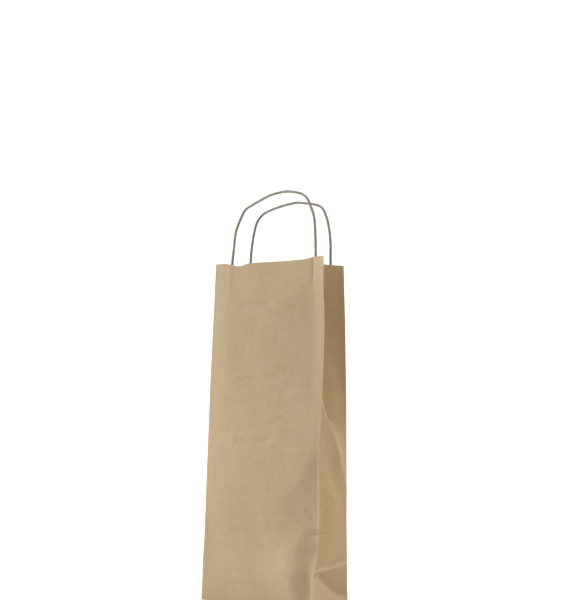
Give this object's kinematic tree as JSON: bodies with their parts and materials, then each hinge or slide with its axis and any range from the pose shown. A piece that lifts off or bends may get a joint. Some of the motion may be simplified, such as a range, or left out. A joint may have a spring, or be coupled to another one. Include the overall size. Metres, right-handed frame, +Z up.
{
  "type": "wine gift bag",
  "caption": "Tall kraft paper bottle bag with a folded block bottom, pinched side gussets and two twisted-paper carrying loops.",
  "frame": {"origin": "centre of the bag's box at floor level, on the underside of the block bottom", "axes": "+Z up along the bag, -Y out of the front panel, +X to the right seen from the front"},
  "size_m": [0.14, 0.08, 0.4536],
  "materials": {
    "kraft_sheet": "matte machine-ribbed brown kraft",
    "kraft_gusset": "matte machine-ribbed brown kraft, creased",
    "patch_paper": "matte plain kraft",
    "twisted_paper": "matte tightly twisted paper"
  },
  "bodies": {
    "bag_body": {"front_panel_foot": "kraft_sheet", "rear_panel_foot": "kraft_sheet", "rear_panel": "kraft_sheet", "seam_lap": "kraft_sheet", "left_gusset_front": "kraft_gusset", "left_gusset_rear": "kraft_gusset", "left_gusset_foot": "kraft_gusset", "right_gusset_front": "kraft_gusset", "right_gusset_rear": "kraft_gusset", "right_gusset_foot": "kraft_gusset", "bottom_rear_flap": "kraft_sheet", "bottom_front_flap": "kraft_sheet", "left_bottom_tuck": "kraft_sheet", "right_bottom_tuck": "kraft_sheet", "rear_patch_backing": "patch_paper", "rear_patch_cover": "patch_paper", "rear_cord_tail_left": "twisted_paper", "rear_cord_tail_right": "twisted_paper"},
    "front_wall": {"front_panel": "kraft_sheet", "front_patch_backing": "patch_paper", "front_patch_cover": "patch_paper", "front_cord_tail_left": "twisted_paper", "front_cord_tail_right": "twisted_paper"},
    "front_handle": {"front_handle_loop": "twisted_paper"},
    "rear_handle": {"rear_handle_loop": "twisted_paper"}
  },
  "joints": [
    {"name": "mouth_open_close", "type": "hinge", "parent": "bag_body", "child": "front_wall", "pos_m": [0, -0.04, 0.04], "axis": [1, 0, 0], "range_deg": [-3.5, 4], "deforming": ["left_gusset_front", "left_gusset_rear", "right_gusset_front", "right_gusset_rear"]},
    {"name": "front_handle_swing", "type": "hinge", "parent": "front_wall", "child": "front_handle", "pos_m": [0, -0.01214, 0.37606], "axis": [1, 0, 0], "range_deg": [-5, 90]},
    {"name": "rear_handle_swing", "type": "hinge", "parent": "bag_body", "child": "rear_handle", "pos_m": [0, 0.03227, 0.37712], "axis": [-1, 0, 0], "range_deg": [-5, 90]}
  ]
}
